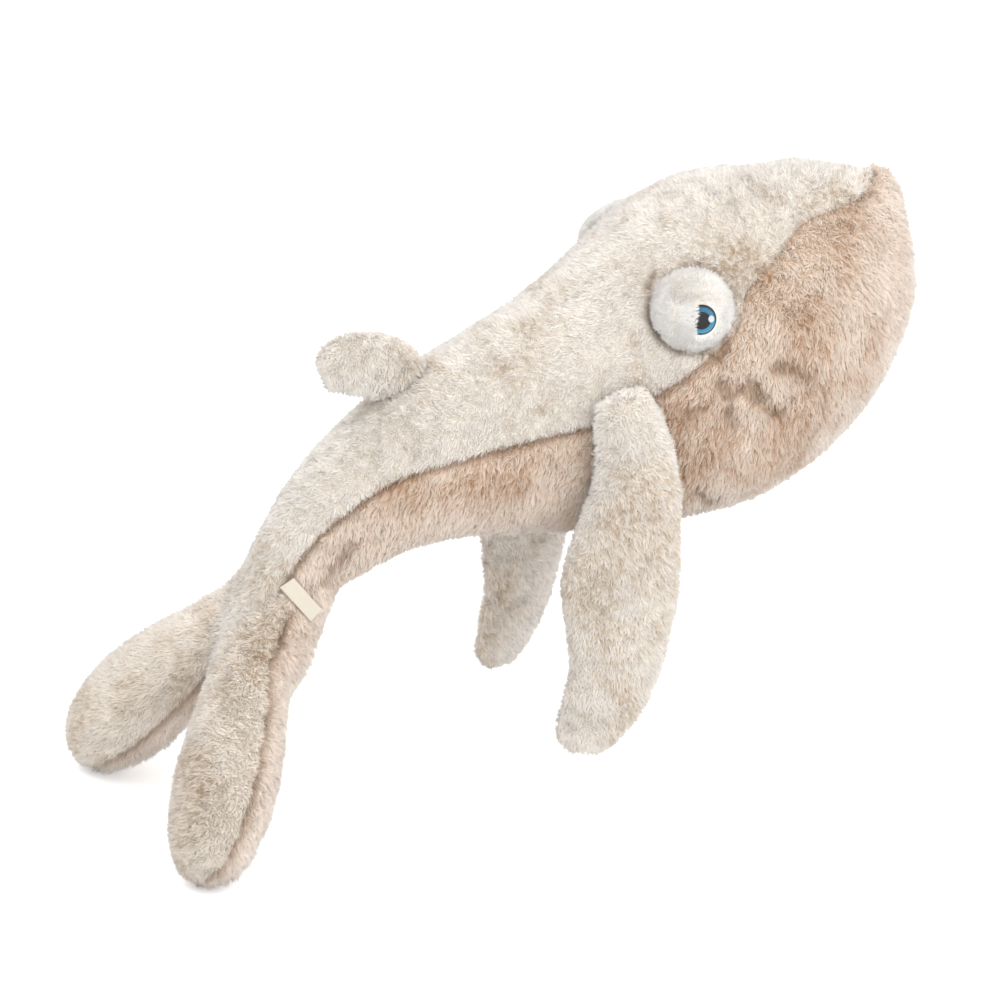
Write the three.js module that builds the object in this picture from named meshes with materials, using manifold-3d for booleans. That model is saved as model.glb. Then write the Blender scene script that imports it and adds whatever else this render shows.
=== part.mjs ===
// A large plush whale: fur panels sewn round stuffed cores, with limp fins, flukes, tail and label.
// Millimetres, +Z up, +X towards the nose, +Y to the whale's left. The origin is under the middle of
// the whale's bounding box. The whale is shown nose up, with its fins hanging down.
import * as THREE from 'three';
import { mergeVertices } from 'three/addons/utils/BufferGeometryUtils.js';
import Module from 'manifold-3d';

const wasm = await Module();
wasm.setup();
const radians = THREE.MathUtils.degToRad;

// Body
const bodyReach = 772; // from the tail's end to the nose, level
const bodyRise = 499; // from the tail's end to the nose, upright
const headHeight = 380; // back to throat
const headWidth = 272; // cheek to cheek

// Fabric and gaps
const furDepth = 9; // backing and pile of a body panel
const limbFurDepth = 6; // backing and pile of a fin's panel
const seamGap = 0.3; // between pieces that touch
const seatGap = 0.6; // under the eyes
const restCut = 0.5; // how deep the fur that carries the whale is pressed flat

// Pectoral fins
const finReach = 361; // from the middle of the round root to the tip
const finWidth = 136;
const finThickness = 54;
const finRootPitch = radians(19); // slope of the root seam along the flank
const finToe = radians(18); // front edge turned outwards
const finStandoff = 1.6; // from the round root to the flank

// Dorsal fin
const dorsalReach = 58; // out of the back, from the middle of the round root to the tip
const dorsalWidth = 80; // along the back
const dorsalThickness = 42;
const dorsalRootPitch = radians(38); // slope of the back under the root
const dorsalStandoff = -0.6;

// Tail flukes
const flukeReach = 272; // along one lobe, from the fork to its tip
const flukeWidth = 134;
const flukeThickness = 112;
const flukeSplay = radians(34.4); // each lobe out from the tail's line
const flukePitch = radians(57.5); // how steeply the flukes hang
const forkOffset = 42; // from the whale's middle to the middle of each lobe's root

// Bends in the tail: the round end of the piece that moves
const tailBendRadius = 88;
const flukeBendRadius = 74;

// Eyes
const eyeDomeRadius = 47;
const eyeDomeHeight = 29;
const eyeFurDepth = 7;
const irisOffset = [-2.5, -13.5]; // from the dome's middle, forwards and up
const eyeOutlineRadius = 19.6;
const irisRadius = 18;
const pupilRadius = 11.4;
const pupilOffset = [-0.4, 0.4]; // from the iris's middle, forwards and up
const highlightRadius = 4.4;
const highlightOffset = [9.7, -3.2];
const embroideryDepth = 2; // thread and its felt backing

// Woven label in the right side seam
const labelLength = 50;
const labelWidth = 18;
const labelThickness = 1.2;
const labelLift = 0.5; // clear of the fur under it

const bodySides = 16; // how finely the forms are drawn
const limbSides = 10;
const bendSteps = 10;

const domeSides = 10;
const discSides = 10;

const colours = {
  cream: '#e2dbd0',
  beige: '#d3bca8',
  stuffing: '#f7f6f2',
  tape: '#e6e0cf',
  eye_fur: '#f2efe9',
  eye_stuffing: '#f7f6f2',
  eye_outline: '#1f3346',
  iris: '#3f9ab0',
  pupil: '#17181b',
  eye_highlight: '#cfcdd0',
};

const overrun = 600; // how far a cutting tool runs past what it cuts
const weldDistance = 1e-5;

// Stations of the body from tail to nose: place of the midline as shares of bodyReach and bodyRise,
// height as a share of headHeight and width as a share of headWidth
const bodyShares = [
  [0.0, 0.0, 0.0, 0.0],
  [0.006, 0.018, 0.17, 0.42],
  [0.016, 0.044, 0.24, 0.57],
  [0.036, 0.106, 0.274, 0.53],
  [0.062, 0.193, 0.268, 0.41],
  [0.092, 0.279, 0.303, 0.37],
  [0.144, 0.36, 0.383, 0.42],
  [0.215, 0.432, 0.46, 0.5],
  [0.301, 0.487, 0.555, 0.6],
  [0.407, 0.521, 0.665, 0.71],
  [0.51, 0.549, 0.785, 0.82],
  [0.614, 0.591, 0.925, 0.94],
  [0.706, 0.645, 1.01, 1.0],
  [0.804, 0.729, 0.965, 0.96],
  [0.884, 0.815, 0.785, 0.81],
  [0.943, 0.9, 0.53, 0.54],
  [0.979, 0.957, 0.235, 0.27],
  [0.994, 0.988, 0.09, 0.11],
  [1.0, 1.0, 0.0, 0.0],
];

// The seam between the cream back and the beige belly and jaw, seen from the side: how far along
// the body's stations, and its height above the midline as a share of the half height there
const forkShares = [0.002, 0.104]; // where the lobes part, as shares of bodyReach and bodyRise
const seamShares = [
  [0.21, 0.46],
  [0.25, 0.48],
  [0.3, 0.4],
  [0.41, 0.27],
  [0.45, 0.18],
  [0.5, 0.15],
  [0.6, 0.2],
  [0.67, 0.29],
  [0.69, 0.36],
  [0.71, 0.49],
  [0.76, 0.58],
  [0.8, 0.65],
  [0.84, 0.54],
  [0.875, 0.48],
  [0.905, 0.58],
  [0.925, 0.75],
  [0.945, 1.15],
];
const throatShare = 0.6; // where the jaw panel meets the belly panel, along the stations

const tailBendShare = 0.37; // places of the joints along the body's stations
const finRootShare = 0.569;
const finRootAngle = radians(12); // round the section, up from the flank
const dorsalRootShare = 0.438;
const eyeShare = 0.66;
const eyeAngle = radians(34.5);

// Stations of a limb past its round root: out to its tip and forwards along its root line as shares
// of its reach, then width and thickness as shares of its own
const finShares = [
  [0.2, -0.045, 0.73, 1.0],
  [0.36, -0.125, 0.89, 1.0],
  [0.5, -0.2, 1.0, 0.97],
  [0.66, -0.262, 0.9, 0.88],
  [0.79, -0.326, 0.77, 0.78],
  [0.89, -0.412, 0.66, 0.67],
  [0.967, -0.5, 0.45, 0.46],
  [1.0, -0.529, 0.0, 0.0],
];
const dorsalShares = [
  [0.33, -0.2, 1.0, 1.0],
  [0.69, -0.56, 0.95, 0.96],
  [0.93, -0.95, 0.7, 0.7],
  [1.0, -1.1, 0.0, 0.0],
];
const finRootWidthShare = 0.56;
const dorsalRootWidthShare = 0.94;

// Stations of a fluke lobe: along its length, width and thickness
const flukeShares = [
  [-0.15, 0.0, 0.0],
  [-0.12, 0.36, 0.38],
  [-0.05, 0.62, 0.64],
  [0.05, 0.75, 0.76],
  [0.24, 0.88, 0.87],
  [0.45, 0.98, 0.97],
  [0.65, 0.99, 0.95],
  [0.82, 0.85, 0.79],
  [0.935, 0.58, 0.52],
  [1.0, 0.0, 0.0],
];

// A limb's round root: angle round its end, and the share of its width reached there
const roundRoot = [
  [0, 0],
  [radians(36), 0.78],
  [radians(90), 1],
];

// Where the label's seam edge lies from the side, as shares of bodyReach and bodyRise
const labelSeamShares = [0.05, 0.28];
const labelDroop = radians(53); // forwards and down from level

const sideways = new THREE.Vector3(0, 1, 0);

// The midline's place and directions at t, with the section's full width and height
function frameAt(form, t) {
  const place = form.midline.getPoint(t);
  const along = form.midline.getTangent(t);
  const side = form.across.clone().addScaledVector(along, -along.dot(form.across)).normalize();
  const up = side.clone().cross(along).normalize();
  const girth = form.girth.getPoint(t);
  return { place, along, side, up, width: Math.max(girth.x, 0), height: Math.max(girth.y, 0) };
}

// A rounded closed form carried along a midline. A station has a place, a width along across and a
// height square to it. Each end closes in one point.
function loft(stations, across, sides) {
  const girths = stations.map((station) => new THREE.Vector3(station.width, station.height, 0));
  const form = {
    midline: new THREE.CatmullRomCurve3(stations.map((station) => station.place)),
    girth: new THREE.CatmullRomCurve3(girths),
    across,
  };
  const rings = stations.length - 1;
  const points = [stations[0].place.clone()];
  for (let ring = 1; ring < rings; ring += 1) {
    const { place, side, up, width, height } = frameAt(form, ring / rings);
    for (let k = 0; k < sides; k += 1) {
      const angle = (2 * Math.PI * k) / sides;
      points.push(place.clone()
        .addScaledVector(side, (width / 2) * Math.cos(angle))
        .addScaledVector(up, (height / 2) * Math.sin(angle)));
    }
  }
  points.push(stations.at(-1).place.clone());
  const at = (ring, k) => 1 + (ring - 1) * sides + (k % sides);
  const index = [];
  for (let k = 0; k < sides; k += 1) {
    index.push(0, at(1, k), at(1, k + 1));
    for (let ring = 1; ring < rings - 1; ring += 1) {
      index.push(at(ring, k), at(ring + 1, k + 1), at(ring, k + 1));
      index.push(at(ring, k), at(ring + 1, k), at(ring + 1, k + 1));
    }
    index.push(at(rings - 1, k + 1), at(rings - 1, k), points.length - 1);
  }
  form.geometry = new THREE.BufferGeometry().setFromPoints(points);
  form.geometry.setIndex(index);
  form.geometry.computeVertexNormals();
  return form;
}

// A form's surface moved in by depth, or out where depth is negative
function inset(form, depth) {
  const moved = form.geometry.clone();
  const { position, normal } = moved.attributes;
  for (let i = 0; i < position.count; i += 1) {
    position.setXYZ(
      i,
      position.getX(i) - depth * normal.getX(i),
      position.getY(i) - depth * normal.getY(i),
      position.getZ(i) - depth * normal.getZ(i),
    );
  }
  return solid(moved);
}

// A closed geometry as a solid that can be joined and cut
function solid(geometry) {
  const bare = geometry.clone();
  bare.deleteAttribute('normal');
  bare.deleteAttribute('uv');
  const merged = mergeVertices(bare, weldDistance);
  return new wasm.Manifold(new wasm.Mesh({
    numProp: 3,
    vertProperties: new Float32Array(merged.attributes.position.array),
    triVerts: new Uint32Array(merged.index.array),
  }));
}

// The largest body of a shape, without the slivers that a cut leaves beside it
function largest(shape) {
  return shape.decompose().reduce((best, one) => (one.volume() > best.volume() ? one : best));
}

const mirrored = (shape) => shape.mirror([0, 1, 0]);

// A tool that fills a side-view outline of Vector2 points, x and z, from one y to another
function sideTool(outline, fromY, toY) {
  const geometry = new THREE.ExtrudeGeometry(new THREE.Shape(outline), {
    depth: toY - fromY,
    bevelEnabled: false,
  });
  return solid(geometry.rotateX(Math.PI / 2).translate(0, toY, 0));
}
const acrossAll = (outline) => sideTool(outline, -overrun, overrun);
const inSideView = (point) => new THREE.Vector2(point.x, point.z);

// A side-view line moved sideways by a distance, to its left
function shifted(line, distance) {
  return line.map((point, i) => {
    const along = line[Math.min(i + 1, line.length - 1)].clone().sub(line[Math.max(i - 1, 0)]);
    along.normalize();
    return new THREE.Vector2(point.x - along.y * distance, point.y + along.x * distance);
  });
}

// The body's form, from tail to nose
const body = loft(bodyShares.map(([x, z, height, width]) => ({
  place: new THREE.Vector3(x * bodyReach, 0, z * bodyRise),
  height: height * headHeight,
  width: width * headWidth,
})), sideways.clone().negate(), bodySides);

// A point on the body's surface, with the section's outward direction there. angle runs up from
// the right flank.
function onBody(t, angle) {
  const { place, side, up, width, height } = frameAt(body, t);
  const point = place.clone()
    .addScaledVector(side, (width / 2) * Math.cos(angle))
    .addScaledVector(up, (height / 2) * Math.sin(angle));
  const outward = side.clone().multiplyScalar(Math.cos(angle) / width)
    .addScaledVector(up, Math.sin(angle) / height).normalize();
  return { point, outward };
}

// The fluke lobes spread in one plane from the tail's end
const flukeDown = new THREE.Vector3(-Math.cos(flukePitch), 0, -Math.sin(flukePitch));
const flukeUp = new THREE.Vector3(-Math.sin(flukePitch), 0, Math.cos(flukePitch));
const fork = new THREE.Vector3(forkShares[0] * bodyReach, 0, forkShares[1] * bodyRise);
const lobeLine = flukeDown.clone().multiplyScalar(Math.cos(flukeSplay))
  .addScaledVector(sideways, -Math.sin(flukeSplay));
const rightLobe = loft(flukeShares.map(([along, width, height]) => ({
  place: fork.clone().addScaledVector(sideways, -forkOffset)
    .addScaledVector(lobeLine, along * flukeReach),
  width: width * flukeWidth,
  height: height * flukeThickness,
})), lobeLine.clone().cross(flukeUp), limbSides);

// Body and flukes as one closed form, its surface moved in by depth
function wholeForm(depth) {
  const lobe = inset(rightLobe, depth);
  return inset(body, depth).add(lobe).add(mirrored(lobe));
}
const skin = wholeForm(0).subtract(wholeForm(furDepth));
const stuffing = wholeForm(furDepth + seamGap);

// The space behind a bend: all that lies back of it, with a round end that turns in the piece ahead.
// The socket's flats lie on its circle and the round end's corners on the other, half a step apart,
// so that they stay clear as the end turns.
function behindBend(centre, along, bendRadius, gap) {
  const middle = inSideView(centre);
  const ahead = inSideView(along).normalize();
  const up = new THREE.Vector2(-ahead.y, ahead.x);
  const at = (forwards, upwards) => middle.clone()
    .addScaledVector(ahead, forwards).addScaledVector(up, upwards);
  const isSocket = gap > 0;
  const radius = bendRadius + gap;
  const cornerRadius = isSocket ? radius / Math.cos(Math.PI / bendSteps / 2) : radius;
  const arc = Array.from({ length: isSocket ? bendSteps : bendSteps + 1 }, (_, i) => {
    const angle = Math.PI * ((i + (isSocket ? 0.5 : 0)) / bendSteps - 0.5);
    return at(cornerRadius * Math.cos(angle), cornerRadius * Math.sin(angle));
  });
  return acrossAll([
    at(-2 * overrun, -overrun), at(gap, -overrun), at(gap, -radius), ...arc, at(gap, radius),
    at(gap, overrun), at(-2 * overrun, overrun),
  ]);
}
const tailFrame = frameAt(body, tailBendShare);
const tailBend = (gap) => behindBend(tailFrame.place, tailFrame.along, tailBendRadius, gap);
const flukeBend = (gap) => behindBend(fork, flukeDown.clone().negate(), flukeBendRadius, gap);

// The space above the side seam, which the cream panels fill
const seamLine = [
  inSideView(fork.clone().addScaledVector(flukeDown, overrun)),
  inSideView(fork),
  ...seamShares.map(([t, share]) => {
    const { place, up, height } = frameAt(body, t);
    return inSideView(place.addScaledVector(up, (share * height) / 2));
  }),
];
const aboveSeam = (gap) => {
  const line = shifted(seamLine, gap);
  const nose = line.at(-1);
  return acrossAll([
    ...line, new THREE.Vector2(nose.x, 2 * overrun), new THREE.Vector2(-2 * overrun, 2 * overrun),
    new THREE.Vector2(-2 * overrun, line[0].y),
  ]);
};
const creamSpace = aboveSeam(seamGap / 2);
const beigeLimit = aboveSeam(-seamGap / 2);

// The throat seam, which parts the jaw panel from the belly panel
const throatFrame = frameAt(body, throatShare);
const behindThroat = (gap) => {
  const middle = inSideView(throatFrame.place.clone().addScaledVector(throatFrame.along, gap));
  const ahead = inSideView(throatFrame.along).normalize().multiplyScalar(overrun);
  const up = new THREE.Vector2(-ahead.y, ahead.x);
  return acrossAll([
    middle.clone().sub(up), middle.clone().add(up),
    middle.clone().add(up).sub(ahead).sub(ahead), middle.clone().sub(up).sub(ahead).sub(ahead),
  ]);
};

// Everything on either side of Y = 0, clear of it by half a seam gap
const slabOutline = [
  new THREE.Vector2(-2 * overrun, -2 * overrun), new THREE.Vector2(2 * overrun, -2 * overrun),
  new THREE.Vector2(2 * overrun, 2 * overrun), new THREE.Vector2(-2 * overrun, 2 * overrun),
];
const minusSide = sideTool(slabOutline, -overrun, -seamGap / 2);
const plusSide = sideTool(slabOutline, seamGap / 2, overrun);

// A limb with a round root, in its own frame: X forwards along its root line, Y through its
// thickness and Z out to its tip
function limb(shares, reach, width, thickness, rootWidthShare) {
  const root = roundRoot.map(([angle, widthShare]) => ({
    place: new THREE.Vector3(0, 0, (-thickness / 2) * Math.cos(angle)),
    width: widthShare * rootWidthShare * width,
    height: thickness * Math.sin(angle),
  }));
  const rest = shares.map(([out, forwards, widthShare, thicknessShare]) => ({
    place: new THREE.Vector3(forwards * reach, 0, out * reach),
    width: widthShare * width,
    height: thicknessShare * thickness,
  }));
  return loft([...root, ...rest], new THREE.Vector3(1, 0, 0), limbSides);
}

// The frame at a place, from its X and Z directions
const frame = (place, x, z) => (
  new THREE.Matrix4().makeBasis(x, z.clone().cross(x), z).setPosition(place));

// A limb's fur on the two sides of its flat middle, and its stuffing, set into a frame
function limbPieces(form, matrix) {
  const fur = inset(form, 0).subtract(inset(form, limbFurDepth));
  const set = (shape) => shape.transform(matrix.elements);
  return {
    plusFur: set(fur.intersect(plusSide)),
    minusFur: set(fur.intersect(minusSide)),
    stuffing: set(inset(form, limbFurDepth + seamGap)),
  };
}

// Pectoral fins, hung from the flanks
const finSeat = onBody(finRootShare, finRootAngle);
const finForward = new THREE.Vector3(
  Math.cos(finRootPitch) * Math.cos(finToe),
  -Math.cos(finRootPitch) * Math.sin(finToe),
  Math.sin(finRootPitch),
);
const finDown = new THREE.Vector3(
  Math.sin(finRootPitch) * Math.cos(finToe),
  -Math.sin(finRootPitch) * Math.sin(finToe),
  -Math.cos(finRootPitch),
);
const finPlace = finSeat.point.addScaledVector(finSeat.outward, finThickness / 2 + finStandoff);
const rightFin = limbPieces(
  limb(finShares, finReach, finWidth, finThickness, finRootWidthShare),
  frame(finPlace, finForward, finDown),
);

// Dorsal fin, on the middle of the back
const backAhead = new THREE.Vector3(Math.cos(dorsalRootPitch), 0, Math.sin(dorsalRootPitch));
const backUp = new THREE.Vector3(-Math.sin(dorsalRootPitch), 0, Math.cos(dorsalRootPitch));
const dorsalPlace = onBody(dorsalRootShare, Math.PI / 2).point
  .addScaledVector(backUp, dorsalThickness / 2 + dorsalStandoff);
const dorsalFin = limbPieces(
  limb(dorsalShares, dorsalReach, dorsalWidth, dorsalThickness, dorsalRootWidthShare),
  frame(dorsalPlace, backAhead, backUp),
);

// Right eye: a fur dome on the head, with the embroidered eye let into it
const eyeSeat = onBody(eyeShare, eyeAngle);
const eyeFrame = frame(eyeSeat.point, frameAt(body, eyeShare).along, eyeSeat.outward);
const headSurface = inset(body, -seatGap);
const dome = (depth) => solid(new THREE.SphereGeometry(1, domeSides, domeSides / 2)
  .rotateX(Math.PI / 2)
  .scale(eyeDomeRadius - depth, eyeDomeRadius - depth, eyeDomeHeight - depth)
  .applyMatrix4(eyeFrame));
const domeRadii = new THREE.Vector3(eyeDomeRadius, eyeDomeRadius, eyeDomeHeight);
const irisOffCentre = Math.hypot(...irisOffset) / eyeDomeRadius;
const irisMiddle = new THREE.Vector3(
  ...irisOffset, eyeDomeHeight * Math.sqrt(1 - irisOffCentre ** 2));
const irisOut = irisMiddle.clone().divide(domeRadii).divide(domeRadii).normalize();
const irisAhead = new THREE.Vector3(1, 0, 0).addScaledVector(irisOut, -irisOut.x).normalize();
const irisFrame = eyeFrame.clone().multiply(frame(irisMiddle, irisAhead, irisOut));
const disc = (radius, [forwards, up] = [0, 0]) => solid(
  new THREE.CylinderGeometry(radius, radius, eyeDomeHeight, discSides)
    .rotateX(Math.PI / 2).translate(forwards, up, 0).applyMatrix4(irisFrame));
const thread = dome(0).subtract(dome(embroideryDepth));
const highlightHole = disc(highlightRadius + seamGap, highlightOffset);
const rightEye = {
  eye_fur: dome(0).subtract(dome(eyeFurDepth))
    .subtract(disc(eyeOutlineRadius + seamGap).subtract(dome(embroideryDepth + seamGap)))
    .subtract(headSurface),
  eye_stuffing: dome(eyeFurDepth + seamGap).subtract(headSurface),
  eye_outline: thread.intersect(disc(eyeOutlineRadius)).subtract(disc(irisRadius + seamGap)),
  iris: thread.intersect(disc(irisRadius)).subtract(disc(pupilRadius + seamGap, pupilOffset))
    .subtract(highlightHole),
  pupil: thread.intersect(disc(pupilRadius, pupilOffset)).subtract(highlightHole),
  eye_highlight: thread.intersect(disc(highlightRadius, highlightOffset)),
};

// Label, lying over the beige fur from the side seam
const labelTop = new THREE.Vector2(labelSeamShares[0] * bodyReach, labelSeamShares[1] * bodyRise);
const labelAlong = new THREE.Vector2(Math.cos(labelDroop), -Math.sin(labelDroop));
const labelAcross = new THREE.Vector2(Math.sin(labelDroop), Math.cos(labelDroop));
const labelCorner = (along, across) => labelTop.clone()
  .addScaledVector(labelAlong, along * labelLength)
  .addScaledVector(labelAcross, (across * labelWidth) / 2);
const label = wholeForm(-labelLift - labelThickness).subtract(wholeForm(-labelLift))
  .intersect(sideTool([
    labelCorner(0, -1), labelCorner(1, -1), labelCorner(1, 1), labelCorner(0, 1),
  ], -overrun, 0));

// The fluke tips carry the whale, with their fur pressed flat
rightLobe.geometry.computeBoundingBox();
const restLevel = rightLobe.geometry.boundingBox.min.z + restCut;
const underRest = acrossAll([
  new THREE.Vector2(-2 * overrun, restLevel - overrun),
  new THREE.Vector2(2 * overrun, restLevel - overrun),
  new THREE.Vector2(2 * overrun, restLevel), new THREE.Vector2(-2 * overrun, restLevel),
]);

// Body, tail and flukes, each cut out of the one sewn skin and its stuffing
const bodySkin = skin.subtract(tailBend(seamGap / 2));
const tailSkin = skin.intersect(tailBend(-seamGap / 2)).subtract(flukeBend(seamGap / 2));
const flukeSkin = skin.intersect(flukeBend(-seamGap / 2)).subtract(underRest);
const bodyBeige = bodySkin.subtract(beigeLimit);
const flukeStuffing = stuffing.intersect(flukeBend(-seamGap / 2));

const whale = new THREE.Group();
function addPiece(name, shape, color) {
  const { vertProperties, triVerts } = largest(shape).getMesh();
  const geometry = new THREE.BufferGeometry();
  geometry.setAttribute('position', new THREE.BufferAttribute(new Float32Array(vertProperties), 3));
  geometry.setIndex(new THREE.BufferAttribute(new Uint32Array(triVerts), 1));
  const material = new THREE.MeshStandardMaterial({ color, roughness: 1, metalness: 0 });
  const mesh = new THREE.Mesh(geometry, material);
  mesh.name = name;
  whale.add(mesh);
}

addPiece('jaw_fur', bodyBeige.subtract(behindThroat(seamGap / 2)), colours.beige);
addPiece('belly_fur', bodyBeige.intersect(behindThroat(-seamGap / 2)), colours.beige);
addPiece('body_stuffing', stuffing.subtract(tailBend(seamGap / 2)), colours.stuffing);
addPiece('tail_belly_fur', tailSkin.subtract(beigeLimit), colours.beige);
addPiece('tail_stuffing',
  stuffing.intersect(tailBend(-seamGap / 2)).subtract(flukeBend(seamGap / 2)), colours.stuffing);
addPiece('right_dorsal_fur', dorsalFin.minusFur, colours.cream);
addPiece('left_dorsal_fur', dorsalFin.plusFur, colours.cream);
addPiece('dorsal_stuffing', dorsalFin.stuffing, colours.stuffing);
addPiece('label', label, colours.tape);

const sides = [['right', minusSide, (shape) => shape], ['left', plusSide, mirrored]];
for (const [side, half, sided] of sides) {
  addPiece(`${side}_back_fur`, bodySkin.intersect(creamSpace).intersect(half), colours.cream);
  addPiece(`${side}_tail_fur`, tailSkin.intersect(creamSpace).intersect(half), colours.cream);
  addPiece(`${side}_fluke_top_fur`, flukeSkin.intersect(creamSpace).intersect(half), colours.cream);
  addPiece(`${side}_fluke_under_fur`, flukeSkin.subtract(beigeLimit).intersect(half), colours.beige);
  addPiece(`${side}_fluke_stuffing`, flukeStuffing.intersect(half), colours.stuffing);
  addPiece(`${side}_fin_outer_fur`, sided(rightFin.plusFur), colours.cream);
  addPiece(`${side}_fin_inner_fur`, sided(rightFin.minusFur), colours.cream);
  addPiece(`${side}_fin_stuffing`, sided(rightFin.stuffing), colours.stuffing);
  for (const [piece, shape] of Object.entries(rightEye)) {
    addPiece(`${side}_${piece}`, sided(shape), colours[piece]);
  }
}

// The origin goes under the middle of the whale's box
const box = new THREE.Box3().setFromObject(whale);
const middle = box.getCenter(new THREE.Vector3());
for (const mesh of whale.children) mesh.geometry.translate(-middle.x, -middle.y, -box.min.z);

export default whale;
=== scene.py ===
# %% [markdown]
# # A plush whale in long-pile fabric
# The toy is a stuffed bag of fur fabric: a few smooth forms, panels sewn on them, and a pile of many
# thousands of fine fibres, grown as real geometry so that it also shows outside Blender.

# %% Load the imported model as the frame
import math

import bpy
import numpy as np
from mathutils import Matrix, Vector


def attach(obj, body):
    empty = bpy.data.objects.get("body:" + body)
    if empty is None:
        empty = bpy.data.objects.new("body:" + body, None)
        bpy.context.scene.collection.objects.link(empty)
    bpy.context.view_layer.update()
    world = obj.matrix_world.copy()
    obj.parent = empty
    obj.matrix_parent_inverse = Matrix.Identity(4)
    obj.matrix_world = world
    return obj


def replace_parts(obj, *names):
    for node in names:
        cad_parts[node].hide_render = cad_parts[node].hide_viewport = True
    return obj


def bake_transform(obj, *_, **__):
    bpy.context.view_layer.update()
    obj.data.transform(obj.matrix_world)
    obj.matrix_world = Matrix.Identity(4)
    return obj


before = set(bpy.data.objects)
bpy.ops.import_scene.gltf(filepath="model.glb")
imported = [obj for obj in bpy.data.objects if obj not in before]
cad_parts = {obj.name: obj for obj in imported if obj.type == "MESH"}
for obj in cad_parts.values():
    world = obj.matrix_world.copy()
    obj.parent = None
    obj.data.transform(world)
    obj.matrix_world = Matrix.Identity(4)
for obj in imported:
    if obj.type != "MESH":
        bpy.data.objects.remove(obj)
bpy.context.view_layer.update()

# %% [markdown]
# Measures are in metres. The body's midline rises from the tail's end to the nose. Its stations are
# shares of the reach and of the rise, then of the head's height and width.

# %% The body's measures
TAIL_END = np.array([-0.33007, 0.0, 0.14876])
BODY_REACH, BODY_RISE = 0.772, 0.499
HEAD_HEIGHT, HEAD_WIDTH = 0.380, 0.272
BODY_SHARES = np.array([
    [0.0, 0.0, 0.0, 0.0], [0.006, 0.018, 0.17, 0.42], [0.016, 0.044, 0.24, 0.57],
    [0.036, 0.106, 0.274, 0.53], [0.062, 0.193, 0.268, 0.41], [0.092, 0.279, 0.303, 0.37],
    [0.144, 0.36, 0.383, 0.42], [0.215, 0.432, 0.46, 0.5], [0.301, 0.487, 0.555, 0.6],
    [0.407, 0.521, 0.665, 0.71], [0.51, 0.549, 0.785, 0.82], [0.614, 0.591, 0.925, 0.94],
    [0.706, 0.645, 1.01, 1.0], [0.804, 0.729, 0.965, 0.96], [0.884, 0.815, 0.785, 0.81],
    [0.943, 0.9, 0.53, 0.54], [0.979, 0.957, 0.235, 0.27], [0.994, 0.988, 0.09, 0.11],
    [1.0, 1.0, 0.0, 0.0],
])
SIDEWAYS = np.array([0.0, 1.0, 0.0])


# %% [markdown]
# A form is a closed, rounded skin along a midline: a function of how far along it and of the angle
# round the section. Panels, seams and fibres ask it for places, as whole arrays.

# %% Helpers for smooth forms
def unit(v):
    """The vectors scaled to length one."""
    return v / np.maximum(np.linalg.norm(v, axis=-1, keepdims=True), 1e-12)


def lengths(v):
    """How long each row is."""
    return np.linalg.norm(v, axis=1)


def clamp(values):
    """The values, with none under 0 or over 1."""
    return np.clip(values, 0, 1)


def nearest(points, places):
    """The number of the place nearest to each point."""
    return np.argmin(np.sum(places ** 2, axis=1) - 2 * points @ places.T, axis=1)


def grid(rows, columns):
    """Every pair of a row's value with a column's, as two flat arrays, row after row."""
    return [side.ravel() for side in np.meshgrid(rows, columns, indexing="ij")]


def through(rows, share):
    """A smooth line through the rows: cubics whose slopes at each row are the weighted mean of the
    steps before and after, so that near rows don't make it overshoot."""
    step = lengths(np.diff(rows, axis=0)) ** 0.5 + 1e-9
    slope = np.diff(rows, axis=0) / step[:, None]
    inner = (slope[:-1] * step[1:, None] + slope[1:] * step[:-1, None]) / (step[:-1] + step[1:])[:, None]
    tangent = np.vstack([slope[:1], inner, slope[-1:]])
    at = clamp(share) * (len(rows) - 1)
    i = np.minimum(at.astype(int), len(rows) - 2)
    f = (at - i)[:, None]
    d = step[i][:, None]
    return ((2 * f**3 - 3 * f**2 + 1) * rows[i] + (f**3 - 2 * f**2 + f) * d * tangent[i]
            + (3 * f**2 - 2 * f**3) * rows[i + 1] + (f**3 - f**2) * d * tangent[i + 1])


class Form:
    """A closed rounded form: rows of x, y, z, width and height along a midline, with elliptical
    sections square to it and their width along the direction across."""

    def __init__(self, rows, across):
        self.rows = np.array(rows, float)
        self.across = unit(np.array(across, float))

    def section(self, t):
        """Middle, directions along, side and up, half width and half height at t."""
        t = clamp(t)
        here = through(self.rows, t)
        ahead = through(self.rows, clamp(t + 2e-3)) - through(self.rows, clamp(t - 2e-3))
        along = unit(ahead[:, :3])
        side = unit(self.across - (along @ self.across)[:, None] * along)
        up = np.cross(side, along)
        half = np.maximum(here[:, 3:], 0) / 2
        return here[:, :3], along, side, up, half[:, 0], half[:, 1]

    def at(self, t, angle):
        """Places on the ellipses, each at an angle up from the side."""
        middle, _, side, up, wide, high = self.section(t)
        return (middle + side * (wide * np.cos(angle))[:, None] + up * (high * np.sin(angle))[:, None])

    def depth(self, points, samples=120):
        """About how deep each point lies inside the form, by its nearest section, negative outside."""
        middle, along, side, up, wide, high = self.section(np.linspace(0.0, 1.0, samples))
        best = nearest(points, middle)
        off = points - middle[best]
        x, y = [np.sum(off * way[best], axis=1) for way in (side, up)]
        share = np.sqrt((x / (wide[best] + 1e-6)) ** 2 + (y / (high[best] + 1e-6)) ** 2)
        reach = np.sqrt(x * x + y * y)
        inside = np.where(share > 1e-6, reach / np.maximum(share, 1e-6) - reach, wide[best])
        end = (best == 0) | (best == samples - 1)
        return np.where(end, -lengths(off), inside)


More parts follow.
